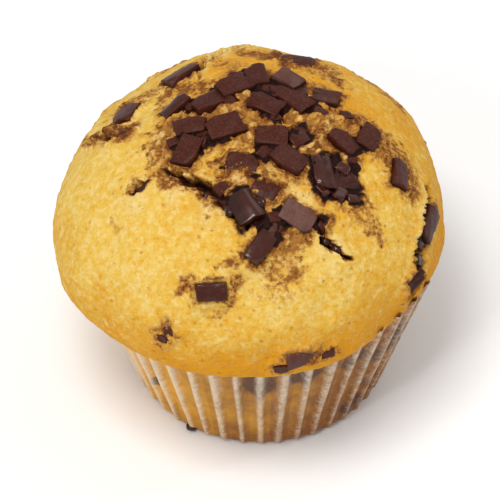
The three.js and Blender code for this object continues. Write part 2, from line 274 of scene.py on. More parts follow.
# Fragments that broke off the chunks and fill the gaps between them, left out of the CAD model
SHARDS = [
    Chunk(35, 79, 20, 3.4, 2.6, 2.2, "bar", gloss=0.3),
    Chunk(294, 76, 60, 3.0, 2.4, 2.2, "slab", gloss=0.3),
    Chunk(192, 70, 70, 3.8, 2.6, 1.9, "bar", gloss=0.3),
    Chunk(20, 61, -20, 3.4, 2.4, 1.9, "slab", gloss=0.3),
    Chunk(250, 59, 40, 3.4, 2.6, 2.0, "bar", gloss=0.6),
    Chunk(60, 66, 10, 4.2, 3.2, 1.7, "slab", gloss=0.3),
    Chunk(76, 66, 70, 3.6, 2.8, 1.9, "bar", gloss=0.4),
    Chunk(52, 73, -30, 3.6, 2.6, 1.9, "slab", gloss=0.3),
    Chunk(122, 64, 50, 3.2, 2.2, 2.0, "bar", gloss=0.4),
    Chunk(18, 51, 30, 2.8, 2.0, 2.1, "slab", gloss=0.3),
    Chunk(98, 57, -10, 3.4, 2.2, 2.1, "bar", gloss=0.3),
    Chunk(146, 62, 40, 2.6, 2.0, 2.1, "slab", gloss=0.4),
    Chunk(352, 70, 80, 3.4, 2.6, 1.9, "bar", gloss=0.5),
    Chunk(48, 60, 80, 3.4, 2.4, 1.9, "bar", gloss=0.3),
    Chunk(283, 49, 10, 2.8, 2.2, 2.0, "slab", gloss=0.3),
    Chunk(305, 42, 70, 2.6, 2.0, 2.3, "bar", gloss=0.5),
    Chunk(346, 50, -10, 2.6, 2.0, 2.2, "bar", gloss=0.3),
    Chunk(10, 45, 40, 2.8, 2.0, 2.2, "slab", gloss=0.3),
    Chunk(244, 8, 10, 2.4, 1.8, 2.3, "slab", gloss=0.2),
    Chunk(279, 1, 10, 3.2, 2.0, 2.3, "slab", gloss=0.2),
    Chunk(293, 3, -10, 2.8, 2.0, 2.3, "bar", gloss=0.2),
    Chunk(99, 14, 30, 2.6, 2.0, 2.3, "bar", gloss=0.2),
    Chunk(56, 6, 60, 2.8, 2.2, 2.2, "slab", gloss=0.3),
    Chunk(323, 46, 60, 3.2, 2.4, 1.8, "bar", gloss=1.0),
    Chunk(338, 51, -30, 3.0, 2.4, 1.9, "slab", gloss=1.0),
    Chunk(326, 42, 10, 2.6, 2.0, 2.1, "bar", gloss=0.9),
    Chunk(317, 51, -50, 2.8, 2.2, 2.1, "slab", gloss=0.9),
    Chunk(44, 78, 60, 3.4, 2.8, 2.0, "slab", gloss=0.4),
    Chunk(76, 70, 20, 3.0, 2.4, 2.2, "bar", gloss=0.5),
    Chunk(118, 72, -40, 3.0, 2.2, 2.2, "slab", gloss=0.3),
    Chunk(187, 60, 20, 3.0, 2.2, 2.2, "bar", gloss=0.3),
    Chunk(193, 76, 30, 2.6, 2.0, 2.4, "slab", gloss=0.3),
]
LOOKS_SEED = 5

# Lumps of chocolate that melted and set again: bearing, rise, radius and height. Those in the
# gaps between the chunks are also a dark fill for painted shade
MELTS = [
    (306, 33, 1.3, -1.0),
    (304, 37, 1.1, -1.4),
    (303, 41, 1.1, -1.4),
    (206, 42, 1.1, -1.2),
    (205, 46, 1.2, -1.2),
    (209, 53, 1.1, -1.3),
    (216, 55, 1.2, -1.7),
    (223, 57, 1.2, -2.2),
    (231, 57, 1.4, -2.0),
    (239, 57, 1.4, -1.9),
    (247, 56, 1.5, -1.4),
    (254, 56, 1.7, -0.8),
    (258, 52, 1.4, 0.2),
    (276, 55, 1.3, 0.5),
    (352, 19, 1.8, -1.2),
    (340, 14, 1.9, -1.2),
    (334, 10, 1.8, -1.0),
    (160, 17, 1.5, -1.0),
    (60, 70, 2.2, -0.9),
    (44, 66, 2.0, -0.9),
    (30, 76, 2.0, -1.0),
    (82, 66, 2.0, -0.9),
    (188, 71, 1.6, -0.8),
]

# A crumb of chocolate that stuck to the case's foot: bearing, height and radius
FOOT_CRUMB = (237, 1.0, 1.1)

# Chocolate that shows through the paper: bearing, height, half width, half height, strength
PAPER_STAINS = [
    (269.5, 26.5, 3.9, 5.2, 1.3),
    (285.5, 28.5, 4.5, 3.4, 1.2),
    (257, 30.5, 4.0, 1.2, 1.1),
    (304, 28.0, 4.0, 3.4, 1.0),
    (315, 23.0, 4.0, 5.0, 0.8),
    (325, 25.0, 3.4, 7.0, 0.9),
    (313, 6.0, 3.6, 3.6, 1.0),
    (321, 12.0, 4.0, 4.0, 0.7),
    (217, 17.0, 1.6, 2.4, 0.8),
    (219, 11.5, 1.4, 1.8, 0.7),
    (224, 12.5, 1.5, 1.8, 1.3),
    (226, 3.0, 1.0, 1.0, 0.7),
    (20, 20.0, 4.0, 4.0, 0.7),
    (62, 26.0, 3.0, 3.0, 0.8),
    (95, 9.0, 3.0, 3.0, 0.7),
    (140, 22.0, 4.0, 3.0, 0.8),
    (176, 8.0, 2.4, 3.0, 0.6),
]


# Crumb round a chunk: the bank against it, how high it climbs over one that is covered, and
# how far its stain and its melted chocolate reach. That chocolate in the gaps between chunks
# is partly painted shade.
BANK_HEIGHT, BANK_WIDTH = 0.62, 0.85
CLIMB_HEIGHT = 1.2
STAIN_REACH, DARK_STAIN_REACH = 1.5, 0.4
GAP_REACH, HALO_REACH = 0.9, 0.6
HALO_GLOSS = 0.9

# Relief of the crust's mesh: heights, and how large the lumps of each kind are
RAGGED_SIZE, FINE_RAGGED_SIZE = 2.4, 0.9
SWELL_SIZE = 11.0
BUMP_HEIGHT, BUMP_SIZE = 0.20, 3.6
FINE_HEIGHT = 0.09
LUMP_HEIGHT, LUMP_SIZE = 0.55, 2.2
MELT_HEIGHT = 0.25
STREAK_HEIGHT = 0.34
CRUMB_SIZE = 1.5
PLAIN_CRUMB_SHARE, TORN_CRUMB_SHARE = 0.07, 0.42
PLAIN_GRAIN_HEIGHT, LOOSE_GRAIN_HEIGHT, GRAIN_SPACING = 0.04, 0.55, 1.6
PLAIN_PIT_DEPTH, TORN_PIT_DEPTH, PIT_SPACING = 0.14, 0.40, 2.4
CRACK_EDGE_HEIGHT = 0.45
# Where the relief ends and where it is full, as row_shares counts the way down the rim
RELIEF_ENDS, RELIEF_FULL = 0.985, 0.94
# The bearings that browned more than the rest: right, back and front
BROWNED_BEARINGS = (-20, 65, 285)

# How far a chunk's top drops for each cut, in halves of its thickness, at x along it and y
# across it, both from -1 to 1
CUTS = {
    "bar": lambda x, y: 0.14 * y**2 + 0.05 * x**2,
    "slab": lambda x, y: 0.05 * x**2,
    "ridge": lambda x, y: 0.9 * np.abs(y - 0.35) + 0.10 * x**2,
    "lobed": lambda x, y: 0.26 * (1 + np.cos(2.6 * np.pi * y + 0.6)) + 0.22 * y**2,
}
# How far a chunk's corners stray along it, aside and up, and the share of them that turns in
CORNER_STRAY = np.array([0.22, 0.26, 0.20])
CORNERS_INWARD = 0.62
CHUNK_TILT = 0.36
BROKEN_CORNERS = 2
COARSE_WEAR_SIZE, FINE_WEAR_SIZE = 1.5, 0.7

# Melted lumps: how flat they settled, the cells of their skin, and their unevenness
MELT_FLATNESS = 0.35
MELT_CELL = 0.22
MELT_SMOOTHING = 9
MELT_UNEVENNESS, MELT_UNEVENNESS_SIZE = 0.34, 1.7

# The paper's folds: half a crest as a share of a pleat, how far the paper runs up behind the
# lip, the height of the wall's turn to the foot, and the rings of the foot as shares of its edge
CREST_HALF = 0.20
PAPER_LAP = 0.45
FOOT_TURN = 1.6
FOOT_RINGS = (0.88, 0.93, 0.97)
RIPPLE_HEIGHT, RIPPLE_SIZE = 0.06, 5.0

# Softboxes: name, the setting with its power, size and place in metres
LAMPS = [
    ("overhead_softbox", "key_power", 0.26, (-0.13, -0.2, 0.72)),
    ("front_strip", "strip_power", 0.09, (-0.3, -0.5, 0.6)),
    ("side_strip", "side_power", 0.08, (0.6, 0.1, 0.45)),
    ("back_softbox", "fill_power", 0.4, (0.35, 0.5, 0.5)),
]

# Settings of nodes
ADD = {"operation": "ADD"}
MULTIPLY = {"operation": "MULTIPLY"}
MULTIPLY_ADD = {"operation": "MULTIPLY_ADD"}
SOFT = {"interpolation_type": "SMOOTHSTEP"}
MIX_COLOURS = {"data_type": "RGBA"}
MIX_NUMBERS = {"data_type": "FLOAT"}


def linear_rgb(hex_code):
    """An sRGB hex value as the linear colour that a shader takes."""
    channels = [int(hex_code[place : place + 2], 16) / 255 for place in (1, 3, 5)]
    return [c / 12.92 if c <= 0.04045 else ((c + 0.055) / 1.055) ** 2.4 for c in channels]


def seeded(seed):
    """Numbers from 0 to 1 that repeat from run to run."""
    state = seed
    while True:
        state = (state + 0x6D2B79F5) & 0xFFFFFFFF
        mixed = ((state ^ (state >> 15)) * (state | 1)) & 0xFFFFFFFF
        mixed ^= (mixed + ((mixed ^ (mixed >> 7)) * (mixed | 61) & 0xFFFFFFFF)) & 0xFFFFFFFF
        yield ((mixed ^ (mixed >> 14)) & 0xFFFFFFFF) / 4294967296


def smooth(low, high, value):
    """0 below low, 1 above high and a soft step between them."""
    share = np.clip((value - low) / (high - low), 0, 1)
    return share * share * (3 - 2 * share)


def fall(distance, reach):
    """1 at a distance of 0, falling off softly to 0 over its reach."""
    return np.exp(-((distance / reach) ** 2))


def unit(vectors):
    """The vectors at length 1."""
    return vectors / np.linalg.norm(vectors, axis=-1, keepdims=True)


def direction(bearing, rise):
    """The unit vector for a bearing and a rise in degrees."""
    around, above = np.radians(bearing), np.radians(rise)
    across = np.cos(above)
    return np.stack([np.cos(around) * across, np.sin(around) * across, np.sin(above)], -1)


def crust_distance(ways):
    """Distance from the ring's middle to the CAD model's crust along unit vectors."""
    across = np.hypot(ways[..., 0], ways[..., 1])
    above = ways[..., 2] >= 0
    reach = np.where(above, TOP_RISE, LIP_DROP)
    power = np.where(above, DOME_POWER, LIP_POWER)
    total = (across / TOP_RADIUS) ** power + (np.abs(ways[..., 2]) / reach) ** power
    return total ** (-1 / power) + raised(ways, SWELLINGS)


def nearness(ways, bearing, rise, spread):
    """1 at a place on the top, falling off to 0 over its spread."""
    turn = np.arccos(np.clip(ways @ direction(bearing, rise), -1, 1))
    return fall(turn * TOP_RADIUS, spread)


def raised(ways, swellings):
    """How far swellings stand out of the crust, and hollows in, along unit vectors."""
    return sum(
        height * nearness(ways, bearing, rise, spread) for bearing, rise, height, spread in swellings
    )


def strongest(ways, patches):
    """The strongest of the patches at each unit vector."""
    field = np.zeros(len(ways))
    for bearing, rise, spread, strength in patches:
        field = np.maximum(field, strength * nearness(ways, bearing, rise, spread))
    return field


def crust_point(ways):
    """The points of the CAD model's crust along unit vectors."""
    return ways * crust_distance(ways)[..., None] + TOP_OFFSET


def crust_normal(way):
    """The crust's outward normal along one unit vector, from two short steps over it."""
    step = 0.02
    helper = np.array([1.0, 0, 0]) if abs(way[2]) > 0.9 else np.array([0, 0, 1.0])
    east = unit(np.cross(helper, way))
    north = np.cross(way, east)
    slopes = [
        crust_point(unit(way + step * side)) - crust_point(unit(way - step * side))
        for side in (east, north)
    ]
    return unit(np.cross(*slopes))


def chunk_pose(chunk):
    """A chunk's place under its middle and its three axes: along, aside and out."""
    way = direction(chunk.bearing, chunk.rise)
    normal = crust_normal(way)
    heading = direction(chunk.heading, 0)
    along = unit(heading - normal * (heading @ normal))
    axes = np.array([along, np.cross(normal, along), normal])
    return crust_point(way) - normal * chunk.sink, axes


def rough(points, size, octaves=2, shift=0.0):
    """Soft noise round 0 whose lumps are about size across."""
    places = points / size + shift
    return np.array([noise.fractal(Vector(place), 1.0, 2.0, octaves) for place in places])


def pores(points, size, shift=0.0):
    """0 at the middle of scattered cells and about 1 at their walls."""
    places = points / size + shift
    return np.array([noise.voronoi(Vector(place))[0][0] for place in places])


def fill_inputs(tree, node, **values):
    """Sets or links a node's inputs. i3 is the input at place 3, and in another name _ is a space."""
    for name, value in values.items():
        by_place = name[0] == "i" and name[1:].isdigit()
        socket = node.inputs[int(name[1:])] if by_place else node.inputs[name.replace("_", " ")]
        if isinstance(value, bpy.types.NodeSocket):
            tree.links.new(value, socket)
        else:
            socket.default_value = value


def add_node(tree, kind, settings=None, **links):
    """Adds a node, sets its properties, and sets or links its inputs."""
    node = tree.nodes.new("ShaderNode" + kind)
    for name, value in (settings or {}).items():
        setattr(node, name, value)
    fill_inputs(tree, node, **links)
    return node


def new_material(name, fields, grains):
    """A node material, with readers for the mesh's fields and noise for each grain's size in
    millimetres, detail and roughness."""
    material = bpy.data.materials.new(name)
    material.use_nodes = True
    tree = material.node_tree
    read = {"place": add_node(tree, "TexCoord").outputs["Object"]}
    for field in fields:
        read[field] = add_node(tree, "Attribute", {"attribute_name": field}).outputs["Fac"]
    for grain, (size, detail, roughness) in grains.items():
        read[grain] = add_node(
            tree, "TexNoise", Vector=read["place"], Scale=1 / (size * MM), Detail=detail,
            Roughness=roughness,
        ).outputs["Fac"]
    return material, tree, tree.nodes["Principled BSDF"], read


def mottled(tree, field, grain, amount):
    """The field with a grain laid round it, which strays by half the amount either way."""
    stray = add_node(tree, "Math", MULTIPLY_ADD, i0=grain, i1=amount, i2=-amount / 2)
    return add_node(tree, "Math", ADD, i0=field, i1=stray.outputs[0]).outputs[0]


def coat(tree, under, colour, share, low, high, most):
    """Lays a colour over another: none of it where share is low, and most where it is high."""
    cover = add_node(tree, "MapRange", SOFT, i0=share, i1=low, i2=high, i3=0.0, i4=most)
    over = (*colour, 1)
    return add_node(tree, "Mix", MIX_COLOURS, i0=cover.outputs[0], i6=under, i7=over).outputs[2]


def layered(tree, settings, base, layers):
    """The base colour with coats over it, in order: the name of each coat's colour in the
    settings, the share that it follows, and that share's low, its high and the most cover."""
    colour = (*getattr(settings, base), 1)
    for name, share, low, high, most in layers:
        colour = coat(tree, colour, getattr(settings, name), share, low, high, most)
    return colour


# Sizes in millimetres, detail and roughness of each material's grains
CRUST_GRAINS = {
    "patches": (7.0, 3.0, 0.5),
    "grains": (1.5, 4.0, 0.7),
    "crumb": (0.9, 4.0, 0.65),
    "specks": (0.45, 3.0, 0.7),
}
CHOCOLATE_GRAINS = {
    "clouds": (2.4, 3.0, 0.6),
    "crumb": (1.1, 4.0, 0.7),
    "fine": (0.5, 3.0, 0.7),
}
PAPER_GRAINS = {
    "patches": (5.0, 3.0, 0.6),
    "blots": (1.8, 4.0, 0.7),
    "fibres": (0.7, 4.0, 0.7),
}
BOARD_GRAINS = {"tone": (60.0, 2.0, 0.5)}
PORE_SIZE = 1.0
SWIRL_DETAIL = {"Detail": 4.0, "Roughness": 0.7, "Distortion": 0.15}


def baked_crust():
    """Egg-rich sponge crust, baked: matte gold that browns at the rim, pale crumb where it tore,
    brown loose crumb among the chunks with painted shade in its hollows, and chocolate drawn
    through the batter. The cracks and the gaps between chunks darken with melted chocolate and
    painted shade."""
    settings = bpy.context.scene.muffin_crust
    fields = ("browning", "torn", "loose", "hollow", "streaks", "melt", "pits")
    material, tree, shader, read = new_material("baked_sponge_crust", fields, CRUST_GRAINS)
    grains, crumb, specks = (read[name] for name in ("grains", "crumb", "specks"))
    browned = mottled(tree, mottled(tree, read["browning"], read["patches"], 0.9), crumb, 0.5)
    pale = add_node(tree, "Math", MULTIPLY_ADD, i0=browned, i1=0.22, i2=grains).outputs[0]
    # Painted shade in the hollows of the loose crumb, and painted light on its raised grains
    hollow = mottled(tree, mottled(tree, read["hollow"], crumb, 1.2), specks, 1.0)
    lit_knobs = add_node(tree, "Math", MULTIPLY_ADD, i0=read["hollow"], i1=-0.9, i2=read["loose"])
    lit_knobs = mottled(tree, mottled(tree, lit_knobs.outputs[0], specks, 1.6), crumb, -1.8)
    # The streaks break up into lines along the swirl
    swirl = add_node(tree, "Attribute", {"attribute_name": "swirl"}).outputs["Vector"]
    lines = add_node(tree, "TexNoise", Vector=swirl, Scale=1.0, **SWIRL_DETAIL).outputs["Fac"]
    lines = mottled(tree, lines, crumb, 0.5)
    broken = add_node(tree, "MapRange", SOFT, i0=lines, i1=0.34, i2=0.64, i3=0.45, i4=1.35)
    haze = add_node(tree, "Math", MULTIPLY, i0=read["streaks"], i1=broken.outputs[0]).outputs[0]
    melted = mottled(tree, read["melt"], crumb, 0.8)
    layers = (
        # The rim browned, and grains from pale to rich yellow lie over it
        ("amber", browned, 0.0, 1.0, 1.0),
        ("crumb", pale, 0.58, 0.38, 0.65),
        ("yolk", pale, 0.56, 0.78, 0.85),
        ("toast", specks, 0.58, 0.74, 0.45),
        # Crumb shows pale where the crust tore, and darker in its pits
        ("crumb", mottled(tree, read["torn"], crumb, 1.3), 0.25, 1.0, 0.65),
        ("toast", read["pits"], 0.2, 1.0, 0.6),
        # Loose crumb among the chunks: tinted all over, toasted in spots, painted shade in its
        # hollows and pale crumb with painted light on its raised grains
        ("tint", mottled(tree, read["loose"], crumb, 1.0), 0.1, 0.9, 0.7),
        ("toast", mottled(tree, read["loose"], grains, 2.4), 0.9, 1.3, 0.4),
        ("bronze_shade", hollow, 0.34, 0.76, 0.95),
        ("lit_knob", lit_knobs, 0.42, 0.90, 0.8),
        # Chocolate in the batter: a tint, browner lines along the swirl, and dark flecks
        ("tint", haze, 0.10, 0.50, 0.8),
        ("haze", mottled(tree, haze, crumb, 1.1), 0.28, 0.82, 0.85),
        ("streak", mottled(tree, haze, specks, 1.8), 0.78, 1.22, 0.8),
        # Chocolate that melted into the cracks and gaps, near black partly as painted shade
        ("streak", melted, 0.10, 0.45, 0.8),
        ("melted", melted, 0.40, 0.75, 1.0),
    )
    # Dry crumb is matte, and chocolate that soaked in shines
    wet = add_node(tree, "MapRange", SOFT, i0=melted, i1=0.40, i2=0.75, i3=0.0, i4=1.0)
    matte = add_node(tree, "MapRange", i0=crumb, i1=0.3, i2=0.7, i3=0.62, i4=0.82)
    finish = add_node(tree, "Mix", MIX_NUMBERS, i0=wet.outputs[0], i2=matte.outputs[0], i3=0.5)
    # Open crumb: fine grains over small pores
    holes = add_node(
        tree, "TexVoronoi", {"feature": "SMOOTH_F1"}, Vector=read["place"],
        Scale=1 / (PORE_SIZE * MM), Smoothness=0.6,
    ).outputs["Distance"]
    walls = add_node(tree, "MapRange", SOFT, i0=holes, i1=0.0, i2=0.6, i4=0.55).outputs[0]
    relief = mottled(tree, mottled(tree, walls, crumb, 1.3), specks, 0.6)
    bump = add_node(tree, "Bump", Height=relief, Distance=settings.grain_depth, Strength=0.8)
    fill_inputs(
        tree, shader, Base_Color=layered(tree, settings, "gold", layers),
        Roughness=finish.outputs[0], Normal=bump.outputs[0], IOR=1.44, Specular_IOR_Level=0.14,
        Subsurface_Weight=0.2, Subsurface_Radius=(1.0, 0.5, 0.2), Subsurface_Scale=1.2 * MM,
    )
    return material


def dark_chocolate():
    """Couverture chocolate, cut and baked in: dark brown with a grain of dust where it stayed dry,
    glossy where it melted and set, and greyer where its fat bloomed. Its cut sides take painted
    shade and its dry tops dust with painted light."""
    settings = bpy.context.scene.muffin_chocolate
    fields = ("gloss", "bloom", "crumbs", "top")
    material, tree, shader, read = new_material("couverture_chocolate", fields, CHOCOLATE_GRAINS)
    gloss, top, clouds, fine = (read[name] for name in ("gloss", "top", "clouds", "fine"))
    # The dust lies on the dry tops, and with it painted light
    dust_and_light_share = add_node(tree, "Math", MULTIPLY_ADD, i0=gloss, i1=-0.20, i2=fine).outputs[0]
    dust_and_light_share = add_node(tree, "Math", MULTIPLY, i0=dust_and_light_share, i1=top).outputs[0]
    stuck = mottled(tree, read["crumbs"], read["crumb"], 1.5)
    layers = (
        ("bloomed", mottled(tree, read["bloom"], clouds, 0.9), 0.1, 1.0, 1.0),
        # Painted shade darkens the cut sides, and the dry tops carry a paler reddish dust with painted
        # light
        ("side", top, 0.75, 0.15, 0.75),
        ("dust_and_light", dust_and_light_share, 0.34, 0.66, 0.72),
        ("crumbed", stuck, 0.48, 0.66, 0.85),
    )
    dull = add_node(
        tree, "MapRange", i0=gloss, i1=0.0, i2=1.0, i3=settings.dull_roughness,
        i4=settings.gloss_roughness,
    ).outputs[0]
    crumbly = add_node(tree, "MapRange", i0=stuck, i1=0.48, i2=0.66, i3=0.0, i4=0.35).outputs[0]
    dull = add_node(tree, "Math", ADD, i0=mottled(tree, dull, clouds, 0.14), i1=crumbly)
    # The grain stands out on the dry faces alone
    proud = add_node(tree, "MapRange", i0=gloss, i1=0.1, i2=0.9, i3=0.7, i4=0.12).outputs[0]
    relief = add_node(tree, "Math", MULTIPLY_ADD, i0=fine, i1=proud, i2=clouds).outputs[0]
    bump = add_node(tree, "Bump", Height=relief, Distance=0.22 * MM, Strength=0.7)
    wet = add_node(tree, "MapRange", i0=gloss, i1=0.5, i2=0.9, i3=0.0, i4=0.6)
    fill_inputs(
        tree, shader, Base_Color=layered(tree, settings, "dark", layers),
        Roughness=dull.outputs[0], Normal=bump.outputs[0], IOR=1.5, Specular_IOR_Level=0.16,
        Coat_Weight=wet.outputs[0], Coat_Roughness=0.07, Coat_IOR=1.4,
    )
    return material


def baking_paper():
    """Greaseproof paper, folded in a die: the fat makes it clear against the cake and the
    free crests stay whitish. Painted shade browns the side away from the lamps, and painted
    light whitens the crests on the side towards them."""
    settings = bpy.context.scene.muffin_paper
    fields = ("crest", "stain", "fat", "shaded")
    material, tree, shader, read = new_material("greaseproof_paper", fields, PAPER_GRAINS)
    patches, blots, fibres = (read[name] for name in ("patches", "blots", "fibres"))
    # Painted shade: the side away from the lamps turns brown along with the fat
    greased_and_shaded = add_node(tree, "Math", MULTIPLY_ADD, i0=read["shaded"], i1=0.8, i2=read["fat"])
    greased_and_shaded = mottled(tree, greased_and_shaded.outputs[0], patches, 0.8)
    # The crests stand whitish where the paper is clear of the cake, whiter on the lit side as painted
    # light
    lifted_and_lit = mottled(tree, mottled(tree, read["crest"], fibres, 0.7), blots, 0.9)
    layers = (
        ("brown", greased_and_shaded, 0.0, 1.0, 1.0),
        ("ochre", fibres, 0.5, 0.75, 0.3),
        ("stained", mottled(tree, read["stain"], blots, 0.8), 0.35, 0.75, 0.88),
        ("crest", lifted_and_lit, 0.08, 1.0, 0.92),
    )
    dull = add_node(tree, "MapRange", SOFT, i0=greased_and_shaded, i1=0.2, i2=0.8, i3=0.62, i4=0.42)
    relief = mottled(tree, fibres, patches, 1.5)
    bump = add_node(tree, "Bump", Height=relief, Distance=0.12 * MM, Strength=0.5)
    fill_inputs(
        tree, shader, Base_Color=layered(tree, settings, "ochre", layers),
        Roughness=dull.outputs[0], Normal=bump.outputs[0], IOR=1.47, Specular_IOR_Level=0.13,
    )
    return material


def painted_board():
    """Painted board, rolled: an even pale matte with a faint drift in its tone."""
    colour = bpy.context.scene.muffin_stage.table
    paler = [min(1.0, channel * 1.02) for channel in colour]
    material, tree, shader, read = new_material("painted_board", (), BOARD_GRAINS)
    toned = coat(tree, (*colour, 1), paler, read["tone"], 0.3, 0.7, 1.0)
    fill_inputs(tree, shader, Base_Color=toned, Roughness=0.75)
    return material


def new_piece(name, points, faces, material, fields=None):
    """A smooth mesh from points in millimetres, which rides on the muffin's one body."""
    mesh = bpy.data.meshes.new(name)
    mesh.from_pydata((np.asarray(points) * MM).tolist(), [], [list(face) for face in faces])
    for field, values in (fields or {}).items():
        kind, item = ("FLOAT_VECTOR", "vector") if np.ndim(values) == 2 else ("FLOAT", "value")
        layer = mesh.attributes.new(field, kind, "POINT")
        layer.data.foreach_set(item, np.asarray(values, np.float32).ravel())
    mesh.shade_smooth()
    mesh.materials.append(material)
    piece = bpy.data.objects.new(name, mesh)
    bpy.context.scene.collection.objects.link(piece)
    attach(piece, BODY)
    return piece


def ring_faces(upper, lower):
    """Quads between two rings of vertices that both run anticlockwise seen from above."""
    return np.stack([upper, lower, np.roll(lower, -1), np.roll(upper, -1)], -1)


def pleat_depth(height):
    """How far a panel lies inside the crests at a height."""
    return PLEAT_DEPTH_AT_FOOT + (PLEAT_DEPTH_AT_EDGE - PLEAT_DEPTH_AT_FOOT) * height / CASE_HEIGHT


def crest_radius(height):
    """The case's outer radius over its crests at a height."""
    return FOOT_RADIUS + WALL_SLOPE * height


def plug_radius(height):
    """The cake's radius inside the case at a height."""
    return crest_radius(height) - pleat_depth(height) - PLUG_GAP


def junction_height(around, radius_at):
    """The height at which a wall with that radius at each height meets the lip's underside."""
    low = np.full(around.shape, RING_HEIGHT / 2)
    high = np.full(around.shape, RING_HEIGHT)
    halvings = 40
    for _ in range(halvings):
        height = (low + high) / 2
        offsets = on_circle(around, radius_at(height), height) - TOP_OFFSET
        inside = np.linalg.norm(offsets, axis=-1) < crust_distance(unit(offsets))
        high = np.where(inside, height, high)
        low = np.where(inside, low, height)
    return (low + high) / 2


def on_circle(around, radius, height):
    """Points at angles in radians round the axis, at a radius and a height."""
    flat = np.broadcast_arrays(np.cos(around) * radius, np.sin(around) * radius, height)
    return np.stack(flat, -1)


def crown_patch(cells):
    """Directions and faces of a square patch over the crown, and its border going round."""
    side = cells + 1
    slopes = np.tan(np.radians(np.linspace(-45, 45, side)))
    across, along = np.meshgrid(slopes, slopes)
    ways = unit(np.stack([across, along, np.ones_like(across)], -1)).reshape(-1, 3)
    index = np.arange(side * side).reshape(side, side)
    corners = [index[:-1, :-1], index[:-1, 1:], index[1:, 1:], index[1:, :-1]]
    faces = np.stack(corners, -1).reshape(-1, 4)
    border = [index[0, :-1], index[:-1, -1], index[-1, :0:-1], index[:0:-1, 0]]
    return ways, faces, np.concatenate(border)


def crust_mesh(crust):
    """Directions of the crust's vertices, the plug's points below them, and all the faces."""
    ways, faces, border = crown_patch(crust.crown_cells)
    bearing = np.arctan2(ways[border, 1], ways[border, 0])
    rise = np.arcsin(ways[border, 2])
    junction = junction_height(bearing, plug_radius)
    meeting = unit(on_circle(bearing, plug_radius(junction), junction) - TOP_OFFSET)
    meeting_bearing = np.arctan2(meeting[:, 1], meeting[:, 0])
    swing = np.angle(np.exp(1j * (meeting_bearing - bearing)))
    rings, all_ways, all_faces, last = [], [ways], [faces], border
    for row in range(1, crust.lip_rows + 1):
        share = row / crust.lip_rows
        rises = rise + (np.arcsin(meeting[:, 2]) - rise) * share
        turned = bearing + swing * share
        all_ways.append(direction(np.degrees(turned), np.degrees(rises)))
        ring = np.arange(len(border)) + sum(map(len, all_ways[:-1]))
        all_faces.append(ring_faces(last, ring))
        last = ring
    count = sum(map(len, all_ways))
    for row in range(1, crust.plug_rows + 1):
        height = junction + (PLUG_FLOOR - junction) * row / crust.plug_rows
        rings.append(on_circle(bearing, plug_radius(height), height))
        ring = np.arange(len(border)) + count
        all_faces.append(ring_faces(last, ring))
        last = ring
        count += len(border)
    rings.append(np.array([[0, 0, PLUG_FLOOR]]))
    closing = np.stack([last, np.full(len(last), count), np.roll(last, -1)], -1)
    quads = np.concatenate(all_faces).tolist()
    return np.concatenate(all_ways), np.concatenate(rings), quads + closing.tolist()


def curve_on_crust(path, samples=80):
    """Points of the crust along a smooth curve through the bearings and rises of its turns."""
    turns = direction(*np.array(path, float).T)
    ends = np.concatenate([[2 * turns[0] - turns[1]], turns, [2 * turns[-1] - turns[-2]]])
    shares = np.linspace(0, len(turns) - 1, samples)
    first = np.minimum(shares.astype(int), len(turns) - 2)
    step = (shares - first)[:, None]
    a, b, c, d = (ends[first + k] for k in range(4))
    curve = b + 0.5 * step * (c - a + step * (2 * a - 5 * b + 4 * c - d + step * (3 * (b - c) + d - a)))
    return crust_point(unit(curve))


def nearest_on(line, points):
    """How far points lie from a line of points, and at which share of its length."""
    nearest = np.full(len(points), np.inf)
    share = np.zeros(len(points))
    for step, place in enumerate(line):
        away = np.linalg.norm(points - place, axis=1)
        closer = away < nearest
        nearest[closer] = away[closer]
        share[closer] = step / (len(line) - 1)
    return nearest, share


def streak_field(points, ragged):
    """How strongly chocolate streaks the crust at each point."""
    strength = np.zeros(len(points))
    moved = points + 1.3 * ragged[:, :3]
    for streak in STREAKS:
        nearest, share = nearest_on(curve_on_crust(streak.path, samples=30), moved)
        fullness = 0.6 + 0.4 * np.sin(np.pi * share)
        reach = 0.75 * streak.width * fullness
        strength = np.maximum(strength, streak.strength * fall(nearest, reach))
    return strength


def swirl_places(points, ragged):
    """Places for the streaks' noise, drawn out along circles round the crown."""
    axis = direction(SWIRL_BEARING, SWIRL_RISE)
    helper = unit(np.cross(axis, [1.0, 0, 0]))
    offsets = points - TOP_OFFSET
    across = np.stack([offsets @ helper, offsets @ np.cross(axis, helper)], -1)
    away = np.linalg.norm(across, axis=1)
    turn = np.arctan2(across[:, 1], across[:, 0]) + 0.02 * away
    out = (away + 1.6 * ragged[:, 0] + 0.8 * offsets @ axis) / 1.5
    return np.stack([out, 3.4 * np.cos(turn), 3.4 * np.sin(turn)], -1)


def crack_fields(points, ragged):
    """How deep the cracks cut at each point, how near their edges are, and how much melted
    chocolate lies there, dark partly as painted shade."""
    depth = np.zeros(len(points))
    edge = np.zeros(len(points))
    melt = np.zeros(len(points))
    moved = points + ragged[:, :3]
    for crack in CRACKS:
        nearest, share = nearest_on(curve_on_crust(crack.path), moved)
        fullness = CRACK_END_SHARE + (1 - CRACK_END_SHARE) * np.sin(np.pi * share)
        half = crack.width / 2 * fullness
        nearest = np.maximum(nearest + 0.35 * ragged[:, 3], 0)
        cut = np.clip(1 - (nearest / half) ** 2, 0, 1)
        depth = np.maximum(depth, crack.depth * fullness * smooth(0, 0.85, cut))
        beside = fall(nearest - half, CRACK_EDGE_WIDTH) * (nearest > half)
        edge = np.maximum(edge, fullness * beside)
        melt = np.maximum(melt, crack.melt * smooth(0.40, 0.90, cut))
    return depth, edge, melt


